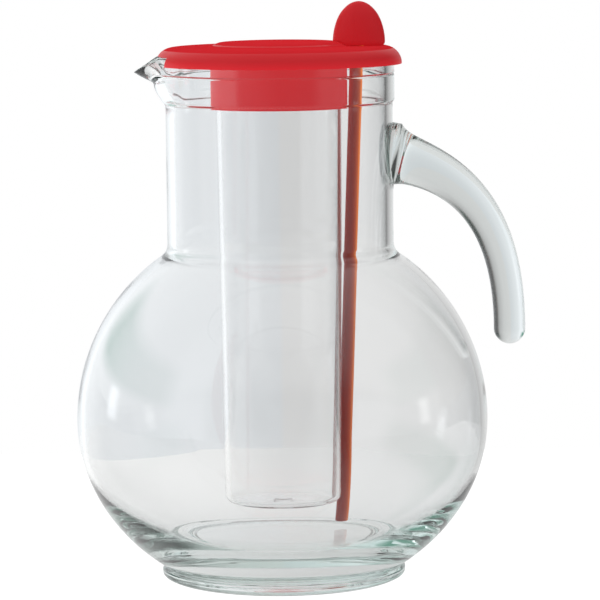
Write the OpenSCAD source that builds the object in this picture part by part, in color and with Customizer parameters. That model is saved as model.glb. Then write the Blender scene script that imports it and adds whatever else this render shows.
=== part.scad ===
// Glass pitcher with a push-on lid, an ice tube and a stirrer.
// Millimetres, +Z up. The origin is the middle of the foot ring, on the table.
// The handle points along +X and the spout along -X.

/* [Jug] */
// Outer radius of the round body at its widest line
ball_r = 84; // [76:1:92]
// Height of the widest line above the table
ball_z = 65.5; // [60:0.5:70]
// Height of the upper half of the body, as half an ellipse
ball_rise = 82.3; // [76:0.1:92]
// Height of the lower half of the body, as half an ellipse
ball_drop = 73.5; // [71:0.5:82]
// Glass wall at the widest line
ball_wall = 2.8; // [2:0.1:4]
// Outer radius of the neck
neck_r = 46.1; // [40:0.1:50]
// Glass wall of the neck
neck_wall = 3.1; // [2.4:0.1:4]
// Size of the hollow where the neck runs into the body
shoulder_round = 3; // [1:0.5:5]
// Height of the rim above the table
jug_h = 213.8; // [195:0.1:235]
// Height of the thicker band below the rim
band_h = 18.3; // [14:0.1:24]
// How far the band stands out from the neck
band_out = 0.8; // [0.4:0.1:1.2]
// Height of the rounded bead at the rim
bead_h = 7.5; // [5:0.1:9]
// Outer radius of the foot ring
foot_r = 49.9; // [44:0.1:56]
// Height of the foot ring
foot_h = 4.8; // [3:0.1:7]
// Height of the glass floor inside
floor_z = 12; // [9:0.5:15]
// Radius at which the wall meets the floor inside
floor_r = 44; // [36:0.5:48]
// How square the hollow's lower half is: 2 is an ellipse
floor_square = 2.3; // [2:0.1:2.6]
// Radius of the hollow under the foot
punt_r = 41; // [32:0.5:44]
// Depth of the hollow under the foot
punt_depth = 2.2; // [1:0.1:4]

/* [Spout] */
// Distance from the jug's axis to the lip of the spout
spout_reach = 58.6; // [56:0.1:66]
// Width of the spout where it leaves the rim
spout_w = 35; // [30:0.5:38]
// How far the lip lies below the rim
spout_dip = 6; // [3:0.1:7]
// How far down the neck the spout starts
spout_h = 20; // [17:0.5:22]
// Glass wall of the spout
spout_wall = 2.6; // [1.8:0.1:3]

/* [Handle] */
// How far the root's middle lies below the rim
handle_drop = 41.3; // [38:0.1:50]
// How far the grip's middle line stands off the widest line of the body
handle_stand = 9.3; // [8:0.1:18]
// How far the grip falls from root to tail
handle_fall = 71; // [60:1:80]
// How far the root's pull reaches out before the grip bends
handle_lead = 24; // [18:1:34]
// How far the grip dips over that reach
handle_dip = 6; // [0:0.5:10]
// How far the tail's pull reaches up into the bend
handle_tail = 50; // [28:1:56]
// Thickness of the grip at the root, seen from the side
root_t = 21.5; // [16:0.5:24]
// Thickness of the grip at the tail, seen from the side
tail_t = 12.9; // [10:0.1:16]
// Width of the grip at the root
root_w = 19; // [14:0.5:24]
// Width of the grip at the tail
tail_w = 14; // [11:0.5:18]
// How far the root spreads where it is fused to the neck
root_flare = 3.4; // [1:0.1:5]

/* [Lid] */
// Wall of the lid
lid_wall = 1.8; // [1.2:0.1:2.4]
// Height of the lid's flat top above the rim
lid_rise = 3.6; // [3:0.1:5]
// How far the skirt hangs below the rim
skirt_h = 3.6; // [2.6:0.1:6]
// Radius of the rounded edge of the lid
lid_round = 7; // [5:0.5:8]
// Space between the glass and the skirt
skirt_play = 1.3; // [0.6:0.1:2]
// Depth of the ring that centres the lid in the neck
ring_h = 3.2; // [2:0.1:3.4]
// Wall of that ring
ring_wall = 1.6; // [1:0.1:2.4]
// Space between that ring and the glass
ring_play = 0.5; // [0.3:0.1:1]
// Height of the raised middle of the lid
crown_h = 1.9; // [1:0.1:3]
// Width of the slope round the raised middle
crown_slope = 3.2; // [1:0.1:5]
// Width of the cut-out in the skirt for the spout
notch_w = 40; // [40:0.5:46]

/* [Ice tube] */
// Outer radius of the tube at its top
tube_r = 25.8; // [22:0.1:27]
// Outer radius of the tube at its bottom
tube_foot_r = 23.7; // [18:0.1:23.9]
// Wall of the tube
tube_wall = 1.6; // [1.2:0.1:2.2]
// Radius of the tube's bottom corner
tube_round = 4; // [3:0.5:6]
// Height of the tube's bottom above the glass floor
tube_lift = 18; // [16:0.5:25]
// How far the tube's top lies below the rim
tube_sink = 7.8; // [6:0.1:10]
// Radius of the moulding mark in the tube's bottom
gate_r = 3.2; // [2:0.1:5]
// Height of that mark
gate_h = 0.5; // [0.3:0.1:1]
// Wall of the socket that holds the tube
socket_wall = 1.9; // [1.6:0.1:2.6]
// How far the socket hangs below the rim
socket_drop = 20.8; // [17:0.1:24]
// Width of the ledge that stops the tube
socket_ledge = 1.1; // [0.8:0.1:1.5]
// Space between the tube and its socket
tube_fit = 0.06; // [0.02:0.01:0.1]

/* [Stirrer] */
// Radius of the rod
rod_r = 2.75; // [2:0.05:3.5]
// Height of the rod's end above the glass floor
rod_lift = 3.1; // [0.8:0.1:6]
// How far from the socket towards the glass the rod passes through the lid
rod_place_share = 0.268; // [0.26:0.002:0.45]
// How far the rod's end leans in towards the tube
rod_lean_in = 7.4; // [0:0.1:7.6]
// How far the rod's end leans sideways
rod_lean_side = 12.5; // [11:0.1:13]
// Space round the rod in the lid's hole
rod_play = 0.6; // [0.35:0.05:0.7]
// Depth of the knob's hole for the rod
rod_grip = 8; // [5:0.5:11]
// Space between the rod and the knob's hole
rod_fit = 0.03; // [0.01:0.01:0.08]
// Width of the knob
knob_w = 21.2; // [18:0.1:26]
// Thickness of the knob
knob_t = 11.5; // [10:0.1:16]
// Height of the knob
knob_h = 18.2; // [14:0.1:24]
// How far the knob's middle stands off the rod, away from the tube
knob_shift = 0.8; // [0:0.1:2]
// Space between the knob and the lid's raised middle
knob_clear = 0.3; // [0.3:0.1:0.6]

/* [Hidden] */
$fn = 72;

// Seat gap between parts that rest on each other, and the overrun of every cut
seat_gap = 0.2;
overrun = 1;
// Angle between the points of a large arc, and of a small one
arc_step = 5;
small_step = 15;

// Small features of the glass: corner of the foot, step of the band, groove under the bead, edge of the rim
foot_round = 1.8;
foot_ease = 0.8;
punt_slope = 1.6;
band_step = 0.8;
bead_groove = 0.35;
rim_round = 1.3;

// Colours, as the photograph shows them
glass = [0.82, 0.90, 0.88, 0.45];
clear_plastic = [0.88, 0.89, 0.90, 0.40];
red_plastic = [0.78, 0.13, 0.15];

// Derived places of the jug
ball_in = ball_r - ball_wall;
neck_in = neck_r - neck_wall;
band_r = neck_r + band_out;
band_z = jug_h - band_h;
bead_z = jug_h - bead_h;
floor_drop = (ball_z - floor_z) / pow(1 - pow(floor_r / ball_in, floor_square), 1 / floor_square);

// Derived places of the lid
lid_z = jug_h + lid_rise;
ceiling_z = lid_z - lid_wall;
seat_z = jug_h + seat_gap;
skirt_z = jug_h - skirt_h;
skirt_in = band_r + skirt_play;
skirt_r = skirt_in + lid_wall;
edge_round = min(lid_round, lid_rise + skirt_h);
round_in = edge_round - lid_wall;
round_r = skirt_r - edge_round;
round_z = lid_z - edge_round;
ring_r = neck_in - ring_play;
socket_in = tube_r + tube_fit;
socket_r = socket_in + socket_wall;
socket_z = jug_h - socket_drop;
crown_z = lid_z + crown_h;
tube_top_z = jug_h - tube_sink;
tube_z = floor_z + tube_lift;

// Line of the stirrer, from its end in the jug to the lid's top
rod_top = [socket_r + (neck_in - socket_r) * rod_place_share, 0, lid_z];
rod_end = [rod_top.x - rod_lean_in, rod_lean_side, floor_z + rod_lift];
rod_run = norm(rod_top - rod_end);
rod_tilt = acos((rod_top.z - rod_end.z) / rod_run);
rod_turn = atan2(rod_top.y - rod_end.y, rod_top.x - rod_end.x);

// Points on an ellipse about [r, z], from one angle to another
function arc(r, z, a, b, from, to, step) =
    let (n = ceil(abs(to - from) / step))
    [for (i = [0 : n]) let (t = from + (to - from) * i / n) [r + a * cos(t), z + b * sin(t)]];

// Points on the hollow's lower half, from its widest line down to the floor
function bowl(steps) = [for (i = [0 : steps])
    let (u = (ball_z - floor_z) / floor_drop * i / steps)
    [ball_in * pow(1 - pow(u, floor_square), 1 / floor_square), ball_z - floor_drop * u]];

// Points on a smooth corner from one point to another, drawn towards the corner's tip
function corner(from, tip, to, steps) =
    [for (i = [0 : steps]) let (t = i / steps) pow(1 - t, 2) * from + 2 * t * (1 - t) * tip + t * t * to];

// Angle on an ellipse with half width a at which its radius is r
function ellipse_angle(r, a) = acos(r / a);

// Closed skin through a list of rings with the same number of points
module skin(rings) {
    n = len(rings[0]);
    last = len(rings) - 1;
    sides = [for (k = [0 : last - 1], i = [0 : n - 1])
        let (j = (i + 1) % n, a = k * n + i, b = k * n + j, c = a + n, d = b + n)
        each [[a, c, d], [a, d, b]]];
    bottom = [for (i = [1 : n - 2]) [0, i, i + 1]];
    top = [for (i = [1 : n - 2]) [last * n, last * n + i + 1, last * n + i]];
    polyhedron([for (ring = rings) each ring], concat(sides, bottom, top));
}

// Glass body

outer_corner_z = ball_z + ball_rise * sin(ellipse_angle(neck_r, ball_r));
inner_rise = ball_rise - ball_wall;
inner_corner_z = ball_z + inner_rise * sin(ellipse_angle(neck_in, ball_in));
outer_end_angle = ellipse_angle(neck_r + shoulder_round, ball_r);
inner_end_angle = ellipse_angle(neck_in + shoulder_round, ball_in);
outer_end = [neck_r + shoulder_round, ball_z + ball_rise * sin(outer_end_angle)];
inner_end = [neck_in + shoulder_round, ball_z + inner_rise * sin(inner_end_angle)];
corner_steps = 6;
bowl_steps = 24;
foot_angle = asin((ball_z - foot_h) / ball_drop);

function jug_outside() = concat(
    [[0, punt_depth], [punt_r - punt_slope, punt_depth], [punt_r, 0]],
    arc(foot_r - foot_round, foot_round, foot_round, foot_round, -90, 0, small_step),
    [[foot_r, foot_h - foot_ease], [foot_r - foot_ease, foot_h]],
    arc(0, ball_z, ball_r, ball_drop, -foot_angle, 0, arc_step),
    arc(0, ball_z, ball_r, ball_rise, arc_step, outer_end_angle, arc_step),
    corner(outer_end, [neck_r, outer_corner_z], [neck_r, outer_corner_z + shoulder_round], corner_steps),
    [[neck_r, band_z - band_step], [band_r, band_z]],
    [[band_r, bead_z - bead_groove], [band_r - bead_groove, bead_z], [band_r, bead_z + bead_groove]],
    arc(band_r - rim_round, jug_h - rim_round, rim_round, rim_round, 0, 90, small_step));

function jug_inside() = concat(
    arc(neck_in + rim_round, jug_h - rim_round, rim_round, rim_round, 90, 180, small_step),
    corner([neck_in, inner_corner_z + shoulder_round], [neck_in, inner_corner_z], inner_end, corner_steps),
    arc(0, ball_z, ball_in, inner_rise, inner_end_angle - arc_step, arc_step, arc_step),
    bowl(bowl_steps),
    [[0, floor_z]]);

// The spout is a fold of the glass: a steep chin below, a beak that kicks out of it to the lip, and wings that
// die into the rim
fold_r = 4.2;
chin_out_share = 0.344;
chin_z_share = 0.36;
chin_w_share = 0.2;
chin_low_share = 0.3;
beak_slope = 0.46;
lip_in_share = 0.8;
lip_up_share = 0.6;
dip_start_share = 0.25;
spout_bulge = spout_reach - neck_r;
chin_x = neck_r + spout_bulge * chin_out_share;
chin_z = jug_h - spout_h * (1 - chin_z_share);
lip_z = jug_h - spout_dip;
lip_ball_x = spout_reach - fold_r * lip_in_share;
lip_ball_z = lip_z + fold_r * lip_up_share;
beak_z = lip_ball_z - (lip_ball_x - neck_r + fold_r) * beak_slope;

module chin() {
    hull() for (side = [-1, 1], open = [0, spout_dip]) {
        translate([fold_r - neck_r, 0, jug_h - spout_h + fold_r * chin_low_share]) sphere(fold_r, $fn = 32);
        translate([fold_r - chin_x, side * chin_w_share * spout_w, chin_z + open]) sphere(fold_r, $fn = 32);
        translate([fold_r - neck_r, side * (spout_w / 2 - fold_r), bead_z]) sphere(fold_r, $fn = 32);
    }
}

// The beak's outside, or its channel when r is smaller and the back and the top are left open
module beak(r, back, open_h) {
    hull() for (side = [-1, 1], open = [0, open_h]) {
        translate([fold_r - neck_r + back, 0, beak_z + open]) sphere(r, $fn = 32);
        translate([-lip_ball_x, 0, lip_ball_z + open]) sphere(r, $fn = 32);
        translate([fold_r - neck_r + back, side * (spout_w / 2 - fold_r), bead_z + open]) sphere(r, $fn = 32);
    }
}

module spout() {
    difference() {
        union() {
            chin();
            beak(fold_r, 0, spout_dip * 2);
        }
        rotate([90, 0, 0]) linear_extrude(spout_w * 2, center = true) polygon([
            [-neck_in, jug_h], [-neck_r - spout_bulge * dip_start_share, jug_h], [-spout_reach, lip_z],
            [-spout_reach - spout_bulge, lip_z], [-spout_reach - spout_bulge, jug_h + spout_h],
            [-neck_in + spout_h, jug_h + spout_h], [-neck_in + spout_h, jug_h]]);
    }
}

module jug_body() {
    color(glass) difference() {
        union() {
            rotate_extrude() polygon(concat(jug_outside(), [[0, jug_h]]));
            spout();
        }
        rotate_extrude() polygon(concat([[0, jug_h + overrun], [neck_in + rim_round, jug_h + overrun]],
            jug_inside()));
        beak(fold_r - spout_wall, fold_r, spout_h);
    }
}

// Glass handle, drawn hot from its own gob and fused to the neck

handle_top = [neck_r, jug_h - handle_drop];
handle_end = [ball_r + handle_stand, jug_h - handle_drop - handle_fall];
handle_bend_a = [handle_top[0] + handle_lead, handle_top[1] - handle_dip];
handle_bend_b = [handle_end[0], handle_end[1] + handle_tail];
handle_rings = 26;
handle_points = 28;
cap_rings = 4;
// How far along the handle the flare at the root dies out
flare_share = 0.035;

function bend(t) = pow(1 - t, 3) * handle_top + 3 * t * pow(1 - t, 2) * handle_bend_a
    + 3 * t * t * (1 - t) * handle_bend_b + pow(t, 3) * handle_end;
function bend_way(t) = let (v = 3 * pow(1 - t, 2) * (handle_bend_a - handle_top)
    + 6 * t * (1 - t) * (handle_bend_b - handle_bend_a) + 3 * t * t * (handle_end - handle_bend_b))
    v / norm(v);
// The section thins quickly after the root and slowly towards the tail
function thinned(from, to, t) = from + (to - from) * (1 - pow(1 - t, 2));
function flare(t) = root_flare * exp(-t / flare_share);
function handle_ring(centre, way, half_t, half_w) = [for (i = [0 : handle_points - 1])
    let (a = 360 * i / handle_points, side = half_t * cos(a))
    [centre[0] - way[1] * side, half_w * sin(a), centre[1] + way[0] * side]];

module jug_handle() {
    start = [handle_ring(handle_top - bend_way(0) * neck_wall * 2, bend_way(0),
        root_t / 2 + root_flare, root_w / 2 + root_flare)];
    grip = [for (k = [0 : handle_rings]) let (t = k / handle_rings)
        handle_ring(bend(t), bend_way(t), thinned(root_t, tail_t, t) / 2 + flare(t),
            thinned(root_w, tail_w, t) / 2 + flare(t))];
    cap = [for (k = [1 : cap_rings]) let (a = 90 * k / (cap_rings + 0.4))
        handle_ring(handle_end - [0, tail_t / 2 * sin(a)], [0, -1], tail_t / 2 * cos(a), tail_w / 2 * cos(a))];
    color(glass) difference() {
        skin(concat(start, grip, cap));
        cylinder(h = jug_h, r = neck_r);
    }
}

// Lid: one moulding with a skirt outside the rim, a centring ring inside it and a socket for the ice tube

function lid_outline() = let (seat_angle = asin((seat_z - round_z) / round_in)) concat(
    [[0, crown_z], [socket_r - crown_slope, crown_z], [socket_r, lid_z]],
    arc(round_r, round_z, edge_round, edge_round, 90, 0, small_step),
    [[skirt_r, skirt_z], [skirt_in, skirt_z]],
    arc(round_r, round_z, round_in, round_in, 0, seat_angle, small_step),
    [[ring_r, seat_z], [ring_r, jug_h - ring_h], [ring_r - ring_wall, jug_h - ring_h], [ring_r - ring_wall, ceiling_z]],
    [[socket_r, ceiling_z], [socket_r, socket_z], [socket_in, socket_z]],
    [[socket_in, tube_top_z + seat_gap], [socket_in - socket_ledge, tube_top_z + seat_gap]],
    [[socket_in - socket_ledge, crown_z - lid_wall], [0, crown_z - lid_wall]]);

module lid() {
    notch_x = ring_r - ring_wall - overrun;
    color(red_plastic) difference() {
        rotate_extrude() polygon(lid_outline());
        translate([-skirt_r - overrun, -notch_w / 2, skirt_z - overrun])
            cube([skirt_r + overrun - notch_x, notch_w, seat_z + overrun - skirt_z]);
        translate([rod_top.x, rod_top.y, ceiling_z - overrun])
            cylinder(h = lid_wall + overrun * 2, r = rod_r + rod_play);
    }
}

// Ice tube: clear, with a slight draft and a rounded bottom

module ice_tube() {
    in = tube_wall;
    round_i = tube_round - tube_wall;
    color(clear_plastic) {
        rotate_extrude() polygon(concat(
            [[0, tube_z]],
            arc(tube_foot_r - tube_round, tube_z + tube_round, tube_round, tube_round, -90, 0, small_step),
            [[tube_r, tube_top_z], [tube_r - in, tube_top_z]],
            arc(tube_foot_r - tube_round, tube_z + tube_round, round_i, round_i, 0, -90, small_step),
            [[gate_r, tube_z + in], [gate_r, tube_z + in + gate_h], [0, tube_z + in + gate_h]]));
    }
}

// Stirrer: a round rod with a blunt end that hangs through the lid, with a knob that stops it

tip_round = 0.9;

module along_rod() {
    translate(rod_end) rotate([0, rod_tilt, rod_turn]) children();
}

module stirrer_rod() {
    color(red_plastic) along_rod() rotate_extrude() polygon(concat(
        [[0, 0]],
        arc(rod_r - tip_round, tip_round, tip_round, tip_round, -90, 0, small_step),
        [[rod_r, rod_run + rod_grip], [0, rod_run + rod_grip]]));
}

knob_points = 36;
// Half width of the knob at shares of its height, from its seat to its tip
knob_height_shares = [0, 0.04, 0.12, 0.3, 0.5, 0.68, 0.82, 0.92, 0.98];
knob_width_shares = [0.93, 0.98, 1, 0.97, 0.89, 0.76, 0.59, 0.4, 0.2];
function knob_ring(h, w) = [for (i = [0 : knob_points - 1]) let (a = 360 * i / knob_points)
    [knob_w / 2 * w * cos(a), knob_t / 2 * w * sin(a), knob_h * h]];

module stirrer_knob() {
    color(red_plastic) difference() {
        translate([rod_top.x + knob_shift, 0, lid_z + seat_gap])
            skin([for (k = [0 : len(knob_height_shares) - 1])
                knob_ring(knob_height_shares[k], knob_width_shares[k])]);
        along_rod() translate([0, 0, rod_run - overrun])
            cylinder(h = rod_grip + overrun + seat_gap, r = rod_r + rod_fit);
        rotate_extrude() polygon([[0, 0], [socket_r + knob_clear, 0], [socket_r + knob_clear, lid_z],
            [socket_r - crown_slope + knob_clear, crown_z + knob_clear], [0, crown_z + knob_clear]]);
    }
}

jug_body();
jug_handle();
lid();
ice_tube();
stirrer_rod();
stirrer_knob();
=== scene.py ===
"""The looks of a glass pitcher with a red lid, an ice tube and a stirrer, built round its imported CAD."""

from math import acos, asin, atan, ceil, cos, degrees, exp, hypot, pi, radians, sin, sqrt

import bpy
from mathutils import Matrix, Vector


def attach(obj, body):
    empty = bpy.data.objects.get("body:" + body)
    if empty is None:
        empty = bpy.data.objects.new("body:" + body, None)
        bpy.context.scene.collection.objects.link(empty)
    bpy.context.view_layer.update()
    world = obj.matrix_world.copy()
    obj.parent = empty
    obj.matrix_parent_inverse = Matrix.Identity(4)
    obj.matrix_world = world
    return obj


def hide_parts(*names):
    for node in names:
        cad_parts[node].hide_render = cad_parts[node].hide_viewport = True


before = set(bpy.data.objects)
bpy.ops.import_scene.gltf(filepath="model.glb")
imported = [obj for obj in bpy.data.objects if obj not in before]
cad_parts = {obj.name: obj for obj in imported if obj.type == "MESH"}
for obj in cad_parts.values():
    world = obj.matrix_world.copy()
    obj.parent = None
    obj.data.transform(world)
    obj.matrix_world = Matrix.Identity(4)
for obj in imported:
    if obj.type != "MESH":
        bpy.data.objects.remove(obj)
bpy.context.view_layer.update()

# ---- Blown jug ----
# A round body with a straight neck, blown into a mould from pale green soda glass. Its rim is pressed
# into a thicker band with a bead, one side of the rim is folded out into a spout while the glass is
# soft, and the foot is a pressed ring.

# every length is in millimetres, with the jug standing upright on z = 0 and its spout towards -x
mm = 0.001
ball_r = 84.0
ball_z = 65.5
ball_rise = 82.3
ball_drop = 73.5
ball_wall = 2.8
neck_r = 46.1
neck_in = 43.0
shoulder_round = 7.0
neck_foot_z = 144.5
jug_h = 213.8
band_r = 46.9
band_z = 195.5
bead_z = 206.3
bead_groove = 0.4
foot_r = 49.9
foot_h = 4.8
rest_r = 46.6
punt_z = 2.2
punt_step_z = 1.5
floor_z = 12.0
floor_r = 44.0
floor_square = 2.3
jug_sides = 240
ball_in = ball_r - ball_wall
inner_rise = ball_rise - ball_wall
floor_drop = (ball_z - floor_z) / (1 - (floor_r / ball_in) ** floor_square) ** (1 / floor_square)


def bend_of(r, z, a, b, start, end, step=2.5):
    """Points on an oval about (r, z), from one angle to another, in degrees."""
    n = max(1, ceil(abs(end - start) / step))
    turns = [radians(start + (end - start) * i / n) for i in range(n + 1)]
    return [(r + a * cos(t), z + b * sin(t)) for t in turns]


def rounded(corners, steps=5):
    """An outline with its corners rounded: each corner is (r, z) or (r, z, radius)."""
    out = []
    for i, c in enumerate(corners):
        if len(c) == 2 or i in (0, len(corners) - 1):
            out.append((c[0], c[1]))
            continue
        p = Vector(c[:2])
        back = Vector(corners[i - 1][:2]) - p
        on = Vector(corners[i + 1][:2]) - p
        reach = min(c[2], back.length * 0.48, on.length * 0.48)
        a = p + back.normalized() * reach
        b = p + on.normalized() * reach
        for k in range(steps + 1):
            t = k / steps
            q = a * (1 - t) ** 2 + p * 2 * t * (1 - t) + b * t * t
            out.append((q.x, q.y))
    return out


def as_piece(name, points, faces):
    """A smooth mesh piece from points in metres."""
    mesh = bpy.data.meshes.new(name)
    mesh.from_pydata(points, [], faces)
    mesh.update()
    mesh.shade_smooth()
    piece = bpy.data.objects.new(name, mesh)
    bpy.context.scene.collection.objects.link(piece)
    return piece


def plain_place(r, turn, z):
    """A point of a spun form, as (x, y, z)."""
    return r * cos(turn), r * sin(turn), z


def turned(name, outline, sides, place=plain_place):
    """A closed form spun about the upright axis, with each point put where place says."""
    points = []
    faces = []
    rings = []
    for r, z in outline:
        if r < 1e-6:
            rings.append([len(points)] * sides)
            points.append((0.0, 0.0, z * mm))
        else:
            rings.append([len(points) + i for i in range(sides)])
            points += [tuple(v * mm for v in place(r, 2 * pi * i / sides, z)) for i in range(sides)]
    for low, high in zip(rings[:-1], rings[1:]):
        for i in range(sides):
            j = (i + 1) % sides
            face = [low[i], low[j], high[j], high[i]]
            faces.append([v for k, v in enumerate(face) if v not in face[:k]])
    return as_piece(name, points, [f for f in faces if len(f) > 2])


def angle_at(r, a):
    """Where an oval of half-width a is r from the axis, in degrees above its middle."""
    return degrees(acos(r / a))


spout_reach = 58.6
spout_dip = 6.0
dip_from = 49.2
spout_start_z = 193.0
spout_full_z = 202.5
chin_turn = radians(33)
chin_spread = 1.6
beak_turn = radians(17)
beak_spread = 1.7
beak_blunt = 0.006
beak_tip = 0.0775
beak_start_z = 203.2
beak_h = 4.4
# the plain radius, how far the chin and the beak stand out, and how much later the fold starts
outside_fold = (neck_r, 4.3, 8.2, 0.0)
inside_fold = (neck_in, 3.9, 9.2, 2.3)


def ease(z, low, high):
    """0 below one height, 1 above another, and a smooth step between them."""
    t = max(0.0, min(1.0, (z - low) / (high - low)))
    return t * t * (3 - 2 * t)


def folded_radius(turn, z, outside):
    """Radius of the rim where it is pulled out: a broad, shallow chin, and above it a narrow beak."""
    plain, chin, beak, late = outside_fold if outside else inside_fold
    turn = abs(turn)
    broad = cos(pi / 2 * min(1.0, turn / chin_turn)) ** chin_spread
    nose = sqrt((turn / beak_turn) ** 2 + beak_blunt) - beak_tip
    narrow = max(0.0, 1 - nose) ** beak_spread
    kick = max(0.0, min(1.0, (z - beak_start_z - late) / beak_h))
    kick = kick + 0.06 * sin(pi * kick)
    swell = ease(z, spout_start_z - 0.6 + late * 0.4, spout_full_z + late * 0.4)
    return plain + chin * swell * broad + beak * kick * narrow


def jug_point(r, turn, z):
    """Where a point of the plain spun jug ends up once the spout is folded out."""
    side = (turn - pi) if turn > 0 else (turn + pi)
    if z > spout_start_z - 1 and abs(side) < chin_turn:
        rim = folded_radius(side, jug_h, True) * cos(side)
        dip = max(0.0, min(1.0, (rim - dip_from) / (spout_reach - dip_from)))
        pull = max(0.0, min(1.0, (z - bead_z + 10) / (jug_h - bead_z + 10)))
        z -= spout_dip * dip * pull
        outside = r > (neck_r + neck_in) / 2
        plain = neck_r if outside else neck_in
        r = folded_radius(side, z, outside) + (r - plain) * (1 - 0.6 * dip)
    return plain_place(r, turn, z)


foot_turn = degrees(asin((ball_z - foot_h) / ball_drop))
outer_low = bend_of(0, ball_z, ball_r, ball_drop, -foot_turn, 0)
outer_top = bend_of(0, ball_z, ball_r, ball_rise, 0, angle_at(neck_r, ball_r))
inner_top = bend_of(0, ball_z, ball_in, inner_rise, angle_at(neck_in, ball_in), 0)
# the hollow ends in a squarer curve than an oval, which leaves the thick heel round the floor
heel_rows = 44
inner_low = []
for k in range(1, heel_rows + 1):
    down = k / heel_rows * (ball_z - floor_z)
    narrowed = (1 - (down / floor_drop) ** floor_square) ** (1 / floor_square)
    inner_low.append((ball_in * narrowed, ball_z - down))

neck_rows = [148 + 4 * i for i in range(12)]
band_rows = [197.0 + 0.55 * i for i in range(15)]
below_band_rows = [196.4, 195.4, 194.4, 193.4, 192.4]
under_foot = [
    (0, punt_z), (30.0, punt_z), (37.6, punt_z, 1.0), (38.4, punt_step_z, 0.5), (39.4, punt_step_z, 0.5),
    (41.0, 0, 0.8), (rest_r, 0, 1.2),
]
foot_side = [(foot_r, 1.6, 2.0), (foot_r, foot_h - 0.4, 1.2), (48.0, foot_h + 0.25, 0.8)]
outer_wall = (
    outer_low[1:]
    + outer_top[1:-2]
    + [(*outer_top[-1], shoulder_round), (neck_r, neck_foot_z)]
    + [(neck_r, z) for z in neck_rows]
    + [(neck_r, band_z - 0.9, 0.5), (band_r, band_z, 0.6)]
    + [(band_r, z) for z in band_rows]
)
rim = [
    (band_r, bead_z - 0.5, 0.3), (band_r - bead_groove, bead_z, 0.3), (band_r, bead_z + 0.5, 0.3),
    (band_r, 208.6), (band_r, 210.8), (band_r, jug_h, 1.7), (neck_in + 1.0, jug_h, 1.4),
    (neck_in, 211.6), (neck_in, 209.4), (neck_in, 207.2),
]
inner_wall = (
    [(neck_in, z) for z in reversed(band_rows)]
    + [(neck_in, z) for z in below_band_rows]
    + [(neck_in, z) for z in reversed(neck_rows)]
    + [(neck_in, neck_foot_z), (*inner_top[0], shoulder_round)]
    + inner_top[2:]
    + inner_low[:-1]
)
floor_dish = [
    (*inner_low[-1], 1.2), (42.6, floor_z - 0.2, 0.6), (41.6, floor_z - 0.5, 0.6), (30.0, floor_z - 0.5),
    (0, floor_z - 0.4),
]
jug_outline = rounded(under_foot + foot_side + outer_wall + rim + inner_wall + floor_dish)
blown_jug = turned("blown_jug", jug_outline, jug_sides, jug_point)


# nodes and links always belong to the material or world that is being made, and the helpers for
# finishes and light add to them
def fresh_finish(name):
    """A new material, with its nodes, its links and its surface."""
    material = bpy.data.materials.new(name)
    material.use_nodes = True
    tree = material.node_tree
    return material, tree.nodes, tree.links, tree.nodes["Principled BSDF"]


def uneven(place, scale, detail):
    """A value that wanders over the piece, in the node tree that is being made."""
    texture = nodes.new("ShaderNodeTexNoise")
    texture.inputs["Scale"].default_value = scale
    texture.inputs["Detail"].default_value = detail
    links.new(place, texture.inputs["Vector"])
    return texture.outputs["Fac"]


def raised(surface, height, strength, distance):
    """Makes a surface stand up a little where the height is larger."""
    bump = nodes.new("ShaderNodeBump")
    bump.inputs["Strength"].default_value = strength
    bump.inputs["Distance"].default_value = distance
    links.new(height, bump.inputs["Height"])
    links.new(bump.outputs["Normal"], surface.inputs["Normal"])


soda_glass, nodes, links, clear = fresh_finish("soda_glass")
clear.inputs["Base Color"].default_value = (1.0, 1.0, 1.0, 1)
clear.inputs["Transmission Weight"].default_value = 1.0
clear.inputs["IOR"].default_value = 1.52
clear.inputs["Roughness"].default_value = 0.0
# the mould chills the skin of the glass into broad, faint waves
where = nodes.new("ShaderNodeTexCoord")
raised(clear, uneven(where.outputs["Object"], 24.0, 1.5), 0.10, 0.0012)
tint = nodes.new("ShaderNodeVolumeAbsorption")
tint.name = "tint"
tint.inputs["Color"].default_value = (0.42, 0.62, 0.56, 1)
tint.inputs["Density"].default_value = 5.8
links.new(tint.outputs["Volume"], nodes["Material Output"].inputs["Volume"])
blown_jug.data.materials.append(soda_glass)

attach(blown_jug, "jug")
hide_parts("jug_body")

# ---- Glass handle ----
# A solid gob of the same glass, drawn out, curved down and left with a free, rounded tail. Its root is
# pressed on to the neck while both are soft, so it flares there and a dark weld line shows.

handle_top = Vector((neck_r, 172.5))
handle_end = Vector((93.3, 101.5))
pull_out = handle_top + Vector((24, -6))
pull_up = handle_end + Vector((0, 50))
root_t = 21.5
tail_t = 12.9
root_w = 19.0
tail_w = 14.0
root_flare = 3.4
flare_share = 0.035
weld_gap = 0.03
weld_step = 0.05
tail_open = 0.4
around_grip = 56


def on_grip(t):
    """Middle of the grip at a share of its length, and the way that it runs there."""
    p = (handle_top * (1 - t) ** 3 + pull_out * 3 * t * (1 - t) ** 2 + pull_up * 3 * t * t * (1 - t)
         + handle_end * t ** 3)
    way = ((pull_out - handle_top) * (1 - t) ** 2 + (pull_up - pull_out) * 2 * t * (1 - t)
           + (handle_end - pull_up) * t * t)
    return p, way.normalized()


def grip_ring(p, way, thick, wide):
    """A ring of points round the grip, square to the way that it runs."""
    ring = []
    for i in range(around_grip):
        a = 2 * pi * i / around_grip
        ring.append((p.x - way.y * thick * cos(a), wide * sin(a), p.y + way.x * thick * cos(a)))
    return ring


def pressed_on(point):
    """A point of the root, moved along x on to the neck."""
    return sqrt(max(0.0, (neck_r + weld_gap) ** 2 - point[1] ** 2)), point[1], point[2]


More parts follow.
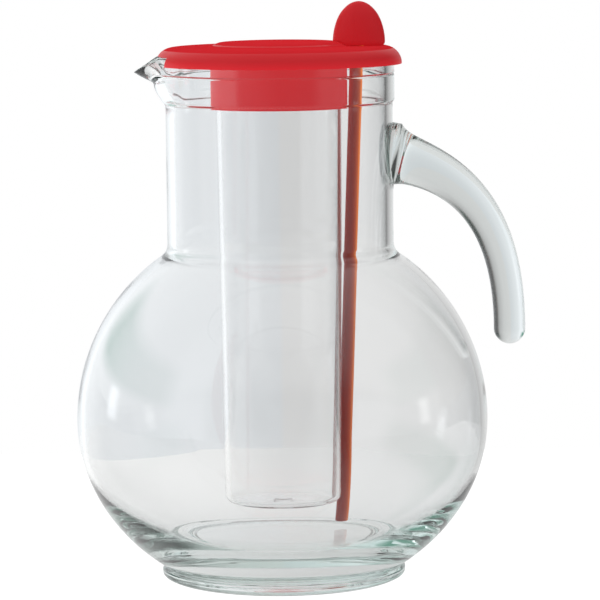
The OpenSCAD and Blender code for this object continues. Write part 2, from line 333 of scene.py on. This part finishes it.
rings = []
root_shares = [0.0, 0.006, 0.012, 0.019, 0.027, 0.036, 0.047, 0.06, 0.075, 0.092, 0.11]
grip_rows = 60
tail_rows = 12
grip_shares = [root_shares[-1] + (1 - root_shares[-1]) * k / grip_rows for k in range(1, grip_rows + 1)]
for t in root_shares + grip_shares:
    p, way = on_grip(t)
    slim = 1 - (1 - t) ** 2
    flare = root_flare * exp(-t / flare_share)
    thick = (root_t + (tail_t - root_t) * slim) / 2 + flare
    wide = (root_w + (tail_w - root_w) * slim) / 2 + flare
    rings.append(grip_ring(p, way, thick, wide))
# the last ring of the round tail stays a little open and is closed flat
for k in range(1, tail_rows + 1):
    a = pi / 2 * k / (tail_rows + tail_open)
    p = handle_end - Vector((0, tail_t / 2 * sin(a)))
    rings.append(grip_ring(p, Vector((0, -1)), tail_t / 2 * cos(a), tail_w / 2 * cos(a)))
# the first ring lies on the neck, the next ones stay outside it, and a pad closes the middle
rings[0] = [pressed_on(q) for q in rings[0]]
for k in range(1, len(root_shares)):
    rings[k] = [(max(q[0], pressed_on(q)[0] + weld_step * k), q[1], q[2]) for q in rings[k]]
middle = Vector((neck_r, 0, handle_top.y))
pad = []
for share in (0.1, 0.3, 0.5, 0.7, 0.88):
    pad.append([pressed_on(middle + (Vector(q) - middle) * share) for q in rings[0]])


def joined(rings, around):
    """The faces between rings of points, with both ends closed."""
    faces = [tuple(range(around))]
    for k in range(len(rings) - 1):
        for i in range(around):
            j = (i + 1) % around
            faces.append((k * around + i, (k + 1) * around + i, (k + 1) * around + j, k * around + j))
    faces.append(tuple(reversed(range((len(rings) - 1) * around, len(rings) * around))))
    return faces


rings = pad + rings
points = [tuple(v * mm for v in q) for ring in rings for q in ring]
glass_handle = as_piece("glass_handle", points, joined(rings, around_grip))

handle_glass = soda_glass.copy()
handle_glass.name = "handle_glass"
handle_tint = handle_glass.node_tree.nodes["tint"]
handle_tint.inputs["Color"].default_value = (0.48, 0.58, 0.55, 1)
handle_tint.inputs["Density"].default_value = 24.0
glass_handle.data.materials.append(handle_glass)

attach(glass_handle, "jug")
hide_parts("jug_handle")

# ---- Red lid ----
# One injection moulding in red plastic: a rounded skirt that drops over the rim, cut away over the
# spout, a low raised middle, a thin ring that centres it in the neck and a socket that hangs down and
# grips the ice tube. The stirrer's rod passes through a round hole near the handle.

lid_sides = 216
lid_z = 217.4
lid_wall = 1.8
seat_z = 214.0
skirt_z = 210.2
skirt_in = 48.2
skirt_r = 50.0
edge_round = 7.0
ring_r = 42.5
ring_wall = 1.6
ring_in = ring_r - ring_wall
ring_low = 210.6
socket_in = 25.86
socket_r = 27.76
socket_z = 193.0
socket_ledge = 1.1
crown_z = 219.3
crown_slope = 3.2
tube_top_z = 206.0
ledge_z = tube_top_z + 0.2
under_lid_z = lid_z - lid_wall
under_crown_z = crown_z - lid_wall
ledge_r = socket_in - socket_ledge
round_in = edge_round - lid_wall
round_r = skirt_r - edge_round
round_z = lid_z - edge_round
seat_turn = degrees(asin((seat_z - round_z) / round_in))
lid_top = [
    (0, crown_z), (14.0, crown_z), (socket_r - crown_slope, crown_z, 1.6), (socket_r, lid_z, 1.2),
    (36.0, lid_z),
]
skirt = (
    bend_of(round_r, round_z, edge_round, edge_round, 90, 0, 5)
    + [(skirt_r, skirt_z, 0.45), (skirt_in, skirt_z, 0.45)]
    + bend_of(round_r, round_z, round_in, round_in, 0, seat_turn, 5)[:-1]
)
centring_ring = [
    (round_r + round_in * cos(radians(seat_turn)), seat_z, 0.5), (ring_r, seat_z, 0.4),
    (ring_r, ring_low, 0.5), (ring_in, ring_low, 0.5), (ring_in, under_lid_z, 0.8),
]
socket = [
    (socket_r, under_lid_z, 1.0), (socket_r, 205.0), (socket_r, socket_z, 0.6), (socket_in, socket_z, 0.4),
    (socket_in, 200.0), (socket_in, ledge_z, 0.1), (ledge_r, ledge_z, 0.3), (ledge_r, under_crown_z, 0.8),
    (12.0, under_crown_z), (0, under_crown_z),
]
red_lid = turned("red_lid", rounded(lid_top + skirt + centring_ring + socket), lid_sides)


def cut_away(piece, cutter):
    """Takes one form out of another and throws the cutter away."""
    cut = piece.modifiers.new("cut", "BOOLEAN")
    cut.operation = "DIFFERENCE"
    cut.solver = "EXACT"
    cut.object = cutter
    bpy.context.view_layer.update()
    done = bpy.data.meshes.new_from_object(piece.evaluated_get(bpy.context.evaluated_depsgraph_get()))
    piece.modifiers.remove(cut)
    piece.data = done
    bpy.data.objects.remove(cutter)


def prism(corners, low, high):
    """A straight block over a plan of corners."""
    n = len(corners)
    points = [(x * mm, y * mm, z * mm) for z in (low, high) for x, y in corners]
    faces = [tuple(reversed(range(n))), tuple(range(n, 2 * n))]
    faces += [(i, (i + 1) % n, n + (i + 1) % n, n + i) for i in range(n)]
    mesh = bpy.data.meshes.new("block")
    mesh.from_pydata(points, [], faces)
    block = bpy.data.objects.new("block", mesh)
    bpy.context.scene.collection.objects.link(block)
    return block


notch_w = 40.0
notch_out = -skirt_r - 1
notch_in = 1 - ring_in
notch_side = notch_w / 2
notch = [(notch_out, -notch_side), (notch_in, -notch_side), (notch_in, notch_side), (notch_out, notch_side)]
cut_away(red_lid, prism(notch, skirt_z - 1, seat_z + 0.02))

rod_sides = 48
rod_r = 2.75
rod_play = 0.6
rod_place_share = 0.268
rod_lean_in = 7.4
rod_lean_side = 12.5
rod_lift = 3.1
rod_top = Vector((socket_r + (neck_in - socket_r) * rod_place_share, 0, lid_z))
rod_end = Vector((rod_top.x - rod_lean_in, rod_lean_side, floor_z + rod_lift))
rod_way = (rod_top - rod_end).normalized()
bore_turns = [2 * pi * i / rod_sides for i in range(rod_sides)]
bore = [(rod_top.x + (rod_r + rod_play) * cos(a), (rod_r + rod_play) * sin(a)) for a in bore_turns]
cut_away(red_lid, prism(bore, under_lid_z - 1, lid_z + 1))
soft_edges = red_lid.modifiers.new("soft_edges", "BEVEL")
soft_edges.width = 0.35 * mm
soft_edges.segments = 2
soft_edges.limit_method = "ANGLE"
soft_edges.angle_limit = radians(50)
soft_edges.harden_normals = True


def between(value, start, end, low, high):
    """A value over one range, stretched to another range."""
    stretch = nodes.new("ShaderNodeMapRange")
    stretch.inputs["From Min"].default_value = start
    stretch.inputs["From Max"].default_value = end
    stretch.inputs["To Min"].default_value = low
    stretch.inputs["To Max"].default_value = high
    links.new(value, stretch.inputs["Value"])
    return stretch


def shaded(value, stops):
    """A colour for each level of a value, with the stops given in rising order as (level, colour)."""
    ramp = nodes.new("ShaderNodeValToRGB")
    first, last = ramp.color_ramp.elements
    first.position, first.color = stops[0]
    last.position, last.color = stops[-1]
    for level, colour in stops[1:-1]:
        ramp.color_ramp.elements.new(level).color = colour
    links.new(value, ramp.inputs["Fac"])
    return ramp


red_plastic, nodes, links, moulded = fresh_finish("red_plastic")
moulded.inputs["IOR"].default_value = 1.5
moulded.inputs["Specular IOR Level"].default_value = 0.12
# the emission below is painted glow, its strength set by height
moulded.inputs["Emission Color"].default_value = (1.0, 0.03, 0.045, 1)
moulded.inputs["Subsurface Weight"].default_value = 0.12
moulded.inputs["Subsurface Radius"].default_value = (0.004, 0.0008, 0.0006)
moulded.inputs["Subsurface Scale"].default_value = 1.0
where = nodes.new("ShaderNodeTexCoord")
# painted glow: the red gives off light of its own, weakest on the level top and strongest on the socket and
# ring below the rim
level = nodes.new("ShaderNodeSeparateXYZ")
links.new(where.outputs["Object"], level.inputs["Vector"])
painted_glow = between(level.outputs["Z"], 0.2135, 0.2095, 0.16, 0.38)
painted_glow.name = "painted_glow"
links.new(painted_glow.outputs["Result"], moulded.inputs["Emission Strength"])
# the pigment is a little uneven, as it flowed into the mould
flow = uneven(where.outputs["Object"], 16.0, 3.0)
pigment = shaded(flow, [(0.3, (0.57, 0.018, 0.024, 1)), (0.7, (0.64, 0.022, 0.028, 1))])
pigment.name = "pigment"
links.new(pigment.outputs["Color"], moulded.inputs["Base Color"])
# the gloss differs in patches, as handling leaves it, and the mould's skin gives a fine grain
rub = between(uneven(where.outputs["Object"], 90.0, 6.0), 0.0, 1.0, 0.34, 0.46)
rub.name = "rub"
links.new(rub.outputs["Result"], moulded.inputs["Roughness"])
raised(moulded, uneven(where.outputs["Object"], 1400.0, 2.0), 0.12, 0.0001)

# the level top of the lid is matt, and its edge, skirt and socket keep a soft gloss
matt_plastic = red_plastic.copy()
matt_plastic.name = "matt_plastic"
matt_plastic.node_tree.nodes["Principled BSDF"].inputs["Specular IOR Level"].default_value = 0.0
level_enough = 0.87
red_lid.data.materials.clear()
red_lid.data.materials.append(red_plastic)
red_lid.data.materials.append(matt_plastic)
for face in red_lid.data.polygons:
    face.material_index = 1 if face.normal.z > level_enough else 0

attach(red_lid, "cover")
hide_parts("lid")

# ---- Ice tube ----
# A long clear plastic tube with a slight draft and a round-cornered bottom, moulded through a gate in
# the middle of its floor. Its open end is pushed into the lid's socket.

tube_sides = 144
tube_r = 25.8
tube_foot_r = 23.7
tube_wall = 1.6
tube_round = 4.0
tube_z = 30.0
gate_r = 3.2
gate_h = 0.5
tube_floor_z = tube_z + tube_wall
corner_r = tube_foot_r - tube_round
corner_z = tube_z + tube_round
draft = tube_r - tube_foot_r
draft_h = tube_top_z - corner_z
draft_rows = [k / 12 for k in range(1, 12)]
tube_outline = rounded(
    [(0, tube_z), (3.0, tube_z), (12.0, tube_z)]
    + bend_of(corner_r, corner_z, tube_round, tube_round, -90, 0, 7)
    + [(tube_foot_r + draft * t, corner_z + draft_h * t) for t in draft_rows]
    + [(tube_r, tube_top_z, 0.5), (tube_r - tube_wall, tube_top_z, 0.5)]
    + [(tube_r - tube_wall - draft * t, tube_top_z - draft_h * t) for t in draft_rows]
    + bend_of(corner_r, corner_z, tube_round - tube_wall, tube_round - tube_wall, 0, -90, 9)
    + [(gate_r + 0.4, tube_floor_z, 0.3), (gate_r, tube_floor_z + gate_h, 0.3), (0, tube_floor_z + gate_h)]
)
clear_tube = turned("clear_tube", tube_outline, tube_sides)

clear_plastic, nodes, links, styrene = fresh_finish("clear_plastic")
styrene.inputs["Base Color"].default_value = (0.975, 0.975, 0.975, 1)
styrene.inputs["Transmission Weight"].default_value = 1.0
styrene.inputs["IOR"].default_value = 1.50
styrene.inputs["Roughness"].default_value = 0.02
where = nodes.new("ShaderNodeTexCoord")
# faint lines run down the tube, the way it was drawn from its mould
drawn = nodes.new("ShaderNodeMapping")
drawn.inputs["Scale"].default_value = (1.0, 1.0, 0.12)
links.new(where.outputs["Object"], drawn.inputs["Vector"])
raised(styrene, uneven(drawn.outputs["Vector"], 60.0, 2.0), 0.06, 0.0005)
clear_tube.data.materials.append(clear_plastic)

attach(clear_tube, "tube")
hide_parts("ice_tube")

# ---- Stirrer rod ----
# A thin round rod of deeper, slightly see-through red plastic with a blunt end. It hangs through a
# loose hole in the lid, held up by its knob, and leans a little towards the ice tube and to one side.

rod_run = (rod_top - rod_end).length
rod_grip = 8.0
rod_blunt = 0.9
rod_rows = [k / 24 for k in range(1, 25)]
rod_outline = (
    [(0, 0)]
    + bend_of(rod_r - rod_blunt, rod_blunt, rod_blunt, rod_blunt, -90, 0, 12)
    + [(rod_r, rod_blunt + (rod_run + rod_grip - rod_blunt) * t) for t in rod_rows]
    + [(0, rod_run + rod_grip)]
)
stirrer_shaft = turned("stirrer_shaft", rod_outline, rod_sides)
lean = rod_way.to_track_quat("Z", "Y").to_matrix().to_4x4()
stirrer_shaft.data.transform(Matrix.Translation(rod_end * mm) @ lean)

rod_plastic = red_plastic.copy()
rod_plastic.name = "rod_plastic"
nodes = rod_plastic.node_tree.nodes
links = rod_plastic.node_tree.links
deep_red = nodes["Principled BSDF"]
deep_red.inputs["Specular IOR Level"].default_value = 0.2
nodes["pigment"].color_ramp.elements[0].color = (0.26, 0.010, 0.006, 1)
nodes["pigment"].color_ramp.elements[1].color = (0.36, 0.020, 0.008, 1)
nodes["rub"].inputs["To Min"].default_value = 0.14
nodes["rub"].inputs["To Max"].default_value = 0.24
# painted highlight: the rod glows orange on its right-hand side, as if lit by the right-hand window, and
# glows more near the lid
nodes["painted_glow"].inputs["From Min"].default_value = 0.10
nodes["painted_glow"].inputs["From Max"].default_value = 0.17
nodes["painted_glow"].inputs["To Min"].default_value = 1.0
nodes["painted_glow"].inputs["To Max"].default_value = 1.9
facing = nodes.new("ShaderNodeSeparateXYZ")
links.new(nodes["Texture Coordinate"].outputs["Normal"], facing.inputs["Vector"])
side = between(facing.outputs["X"], -1.0, 1.0, 0.0, 1.0)
painted_side_glow = shaded(side.outputs["Result"], [
    (0.0, (0.09, 0.003, 0.001, 1)),
    (0.35, (0.05, 0.002, 0.001, 1)),
    (0.6, (0.08, 0.008, 0.002, 1)),
    (0.8, (0.18, 0.03, 0.005, 1)),
    (0.93, (0.42, 0.12, 0.018, 1)),
    (1.0, (0.30, 0.05, 0.02, 1)),
])
links.new(painted_side_glow.outputs["Color"], deep_red.inputs["Emission Color"])
stirrer_shaft.data.materials.append(rod_plastic)

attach(stirrer_shaft, "stirrer")
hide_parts("stirrer_rod")

# ---- Stirrer knob ----
# A flattened, egg-shaped finger grip moulded in the lid's red and pressed on to the rod. A fine
# parting line runs up both faces, and its foot is hollowed to clear the raised middle of the lid.

knob_w = 21.2
knob_t = 11.5
knob_h = 17.836
knob_shift = 0.8
knob_clear = 0.14
knob_x = rod_top.x + knob_shift
knob_z = lid_z + 0.2
seam_x = -2.9
seam_w = 0.32
seam_h = 0.3
around_knob = 72
# height up the egg and width there, both as shares
egg = [
    (0, 0.93), (0.012, 0.955), (0.04, 0.985), (0.08, 1.0), (0.13, 1.0), (0.22, 0.988), (0.32, 0.963),
    (0.42, 0.925), (0.52, 0.873), (0.6, 0.82), (0.68, 0.755), (0.75, 0.68), (0.81, 0.6), (0.87, 0.5),
    (0.915, 0.41), (0.95, 0.315), (0.975, 0.22), (0.99, 0.13), (0.998, 0.05),
]


def lid_top_at(x, y):
    """Height of the lid's top below a point of the knob."""
    return min(crown_z, lid_z + (socket_r - hypot(x, y)) * (crown_z - lid_z) / crown_slope)


rings = []
for up, w in egg:
    ring = []
    for i in range(around_knob):
        a = 2 * pi * i / around_knob
        x = knob_w / 2 * w * cos(a)
        y = knob_t / 2 * w * sin(a)
        on_face = abs(sin(a)) > 0.4
        if on_face:
            seam = seam_h * exp(-((x - seam_x) / seam_w) ** 2) * min(1, (1 - up) * 4)
            y += seam if y > 0 else -seam
        x += knob_x
        z = max(knob_z + knob_h * up, lid_top_at(x, y) + knob_clear)
        ring.append((x * mm, y * mm, z * mm))
    rings.append(ring)
# the rings go in from the top down, so that the faces look outwards
points = [q for ring in reversed(rings) for q in ring]
finger_knob = as_piece("finger_knob", points, joined(rings, around_knob))
# the knob takes the lid's red, painted glow and all
finger_knob.data.materials.append(red_plastic)

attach(finger_knob, "stirrer")
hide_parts("stirrer_knob")

# ---- Floor ----
# A plain pale floor of matt board that the jug stands on. It isn't part of the object. Its painted light,
# a glow of its own, falls off to the right and towards the camera as a window's light would.

board_x = 0.7
board_near = -0.6
board_far = 0.33
floor_mesh = bpy.data.meshes.new("pale_floor")
floor_mesh.from_pydata(
    [(-board_x, board_near, 0), (board_x, board_near, 0), (board_x, board_far, 0), (-board_x, board_far, 0)],
    [], [(0, 1, 2, 3)])
pale_floor = bpy.data.objects.new("pale_floor", floor_mesh)
pale_floor.location.z = -0.0002
bpy.context.scene.collection.objects.link(pale_floor)


def product(first, second):
    """Two values multiplied in the open node tree."""
    times = nodes.new("ShaderNodeMath")
    times.operation = "MULTIPLY"
    for socket, value in zip(times.inputs, (first, second)):
        if isinstance(value, float):
            socket.default_value = value
        else:
            links.new(value, socket)
    return times.outputs["Value"]


table_top, nodes, links, pale = fresh_finish("table_top")
pale.inputs["Base Color"].default_value = (0.28, 0.28, 0.278, 1)
pale.inputs["Roughness"].default_value = 0.7
pale.inputs["Specular IOR Level"].default_value = 0.1
pale.inputs["Emission Color"].default_value = (1.0, 1.0, 1.0, 1)
where = nodes.new("ShaderNodeTexCoord")
spot = nodes.new("ShaderNodeSeparateXYZ")
links.new(where.outputs["Object"], spot.inputs["Vector"])
# painted light: the floor's own glow is strongest at the left and the back, and fades to the right and
# towards the camera
painted_falloff_across = between(spot.outputs["X"], -0.25, 0.30, 0.88, 0.30)
painted_falloff_ahead = between(spot.outputs["Y"], -0.30, -0.06, 0.35, 1.0)
links.new(product(painted_falloff_across.outputs["Result"], painted_falloff_ahead.outputs["Result"]), pale.inputs["Emission Strength"])
# seen straight from the camera the floor is nearly white, like the photograph's ground
white = nodes.new("ShaderNodeEmission")
white.inputs["Color"].default_value = (1, 1, 1, 1)
white.inputs["Strength"].default_value = 1.25
seen = nodes.new("ShaderNodeLightPath")
mix = nodes.new("ShaderNodeMixShader")
links.new(product(seen.outputs["Is Camera Ray"], 0.75), mix.inputs["Fac"])
links.new(pale.outputs["BSDF"], mix.inputs[1])
links.new(white.outputs["Emission"], mix.inputs[2])
links.new(mix.outputs["Shader"], nodes["Material Output"].inputs["Surface"])
pale_floor.data.materials.append(table_top)

# ---- Light ----
# A soft room, bright behind the jug and to its left and darker in front, with a window low on each
# side. Its side walls are dark green above the windows, and the thick heel shows that as green patches.

room = bpy.data.worlds.new("soft_room")
bpy.context.scene.world = room
room.use_nodes = True
nodes = room.node_tree.nodes
links = room.node_tree.links
nodes.clear()
where = nodes.new("ShaderNodeTexCoord")
parts = nodes.new("ShaderNodeSeparateXYZ")
links.new(where.outputs["Generated"], parts.inputs["Vector"])
# headings: 0 is towards the camera, a quarter turn is to the right, and both ends are straight behind
heading = nodes.new("ShaderNodeMath")
heading.operation = "ARCTAN2"
links.new(parts.outputs["X"], heading.inputs[0])
links.new(product(parts.outputs["Y"], -1.0), heading.inputs[1])
all_round = between(heading.outputs["Value"], -pi, pi, 0.0, 1.0).outputs["Result"]
half_up = between(parts.outputs["Z"], -1.0, 1.0, 0.0, 1.0).outputs["Result"]


def share_round(turn):
    """Where a heading in degrees lies on a ramp that runs all round."""
    return (turn + 180) / 360


def by_heading(levels):
    """A level for each heading in degrees."""
    stops = [(share_round(turn), (level, level, level, 1)) for turn, level in levels]
    return shaded(all_round, stops).outputs["Color"]


def by_height(levels):
    """A level for each height, from -1 straight down to 1 straight up."""
    stops = [((z + 1) / 2, (level, level, level, 1)) for z, level in levels]
    return shaded(half_up, stops).outputs["Color"]


wall_light = [
    (-180, 0.80), (-172, 0.86), (-160, 0.95), (-152, 1.1), (-112, 1.1), (-98, 0.9), (-76, 0.75), (-66, 1.0),
    (-47, 1.0), (-40, 0.42), (0, 0.24), (34, 0.26), (44, 0.5), (72, 0.5), (80, 0.4), (98, 0.4),
    (104, 0.05), (138, 0.05), (150, 0.50), (164, 0.72), (180, 0.80),
]
# daylight from the left is a little bluer
wall_stops = []
for turn, level in wall_light:
    blue = 0.03 if turn < 0 else 0.0
    wall_stops.append((share_round(turn), (level * (1 - blue), level, level * (1 + blue), 1)))
walls = shaded(all_round, wall_stops)
ceiling = nodes.new("ShaderNodeMix")
ceiling.data_type = "RGBA"
ceiling.inputs["B"].default_value = (0.92, 0.92, 0.92, 1)
links.new(between(parts.outputs["Z"], 0.35, 0.95, 0.0, 1.0).outputs["Result"], ceiling.inputs["Factor"])
links.new(walls.outputs["Color"], ceiling.inputs["A"])
side_walls = by_heading([(-150, 0), (-136, 1), (-76, 1), (-62, 0), (60, 0), (74, 1), (134, 1), (148, 0)])
over_windows = by_height([(0.12, 0), (0.20, 1), (0.40, 1), (0.52, 0)])
green = nodes.new("ShaderNodeMixRGB")
green.blend_type = "MULTIPLY"
green.inputs["Color2"].default_value = (0.03, 0.26, 0.17, 1)
links.new(product(side_walls, over_windows), green.inputs["Fac"])
links.new(ceiling.outputs["Result"], green.inputs["Color1"])
# the windows leave the short highlights on the round body
panes = by_heading([(-117, 0), (-114, 0.4), (-109, 0.4), (-106, 0), (82, 0), (85, 1), (89, 1), (92, 0)])
tall = by_height([(-0.06, 0), (-0.02, 1), (0.12, 1), (0.16, 0)])
shine = nodes.new("ShaderNodeMath")
shine.operation = "MULTIPLY_ADD"
shine.inputs[1].default_value = 3.0
shine.inputs[2].default_value = 1.0
links.new(product(panes, tall), shine.inputs[0])
lit = nodes.new("ShaderNodeBackground")
links.new(green.outputs["Color"], lit.inputs["Color"])
links.new(shine.outputs["Value"], lit.inputs["Strength"])
# behind the jug the camera sees a plain white ground
ground = nodes.new("ShaderNodeBackground")
ground.inputs["Color"].default_value = (1, 1, 1, 1)
seen = nodes.new("ShaderNodeLightPath")
mix = nodes.new("ShaderNodeMixShader")
out = nodes.new("ShaderNodeOutputWorld")
links.new(seen.outputs["Is Camera Ray"], mix.inputs["Fac"])
links.new(lit.outputs["Background"], mix.inputs[1])
links.new(ground.outputs["Background"], mix.inputs[2])
links.new(mix.outputs["Shader"], out.inputs["Surface"])

bpy.context.scene.view_settings.view_transform = "Standard"
# light may bounce often inside thick glass before it leaves
bpy.context.scene.cycles.max_bounces = 32
bpy.context.scene.cycles.transmission_bounces = 32
bpy.context.scene.cycles.glossy_bounces = 24

# ---- Camera ----
# A long lens, 1.46 m in front of the jug and 10.8 degrees above its foot. It looks with the spout at
# the left and the handle at the right, as in the photograph.

camera_at = (0, -1.462, 0.27889)
focal_px = 3600
sensor_mm = 36
picture_px = 600
camera_data = bpy.data.cameras.new("camera")
camera_data.sensor_width = sensor_mm
camera_data.lens = sensor_mm * focal_px / picture_px
camera = bpy.data.objects.new("camera", camera_data)
bpy.context.scene.collection.objects.link(camera)
# the foot stands this many pixels below the picture's middle, and the jug's axis beside it
foot_below = 274.4
axis_beside = 18.9
tip_down = radians(10.8) - atan(foot_below / focal_px)
pan = atan(axis_beside / focal_px)
roll = radians(-0.6)
forward = Vector((sin(pan) * cos(tip_down), cos(pan) * cos(tip_down), -sin(tip_down)))
level_right = forward.cross(Vector((0, 0, 1))).normalized()
level_up = level_right.cross(forward)
right = level_right * cos(roll) + level_up * sin(roll)
upward = level_up * cos(roll) - level_right * sin(roll)
camera.matrix_world = (
    Matrix.Translation(camera_at) @ Matrix((right, upward, -forward)).transposed().to_4x4()
)
bpy.context.scene.camera = camera
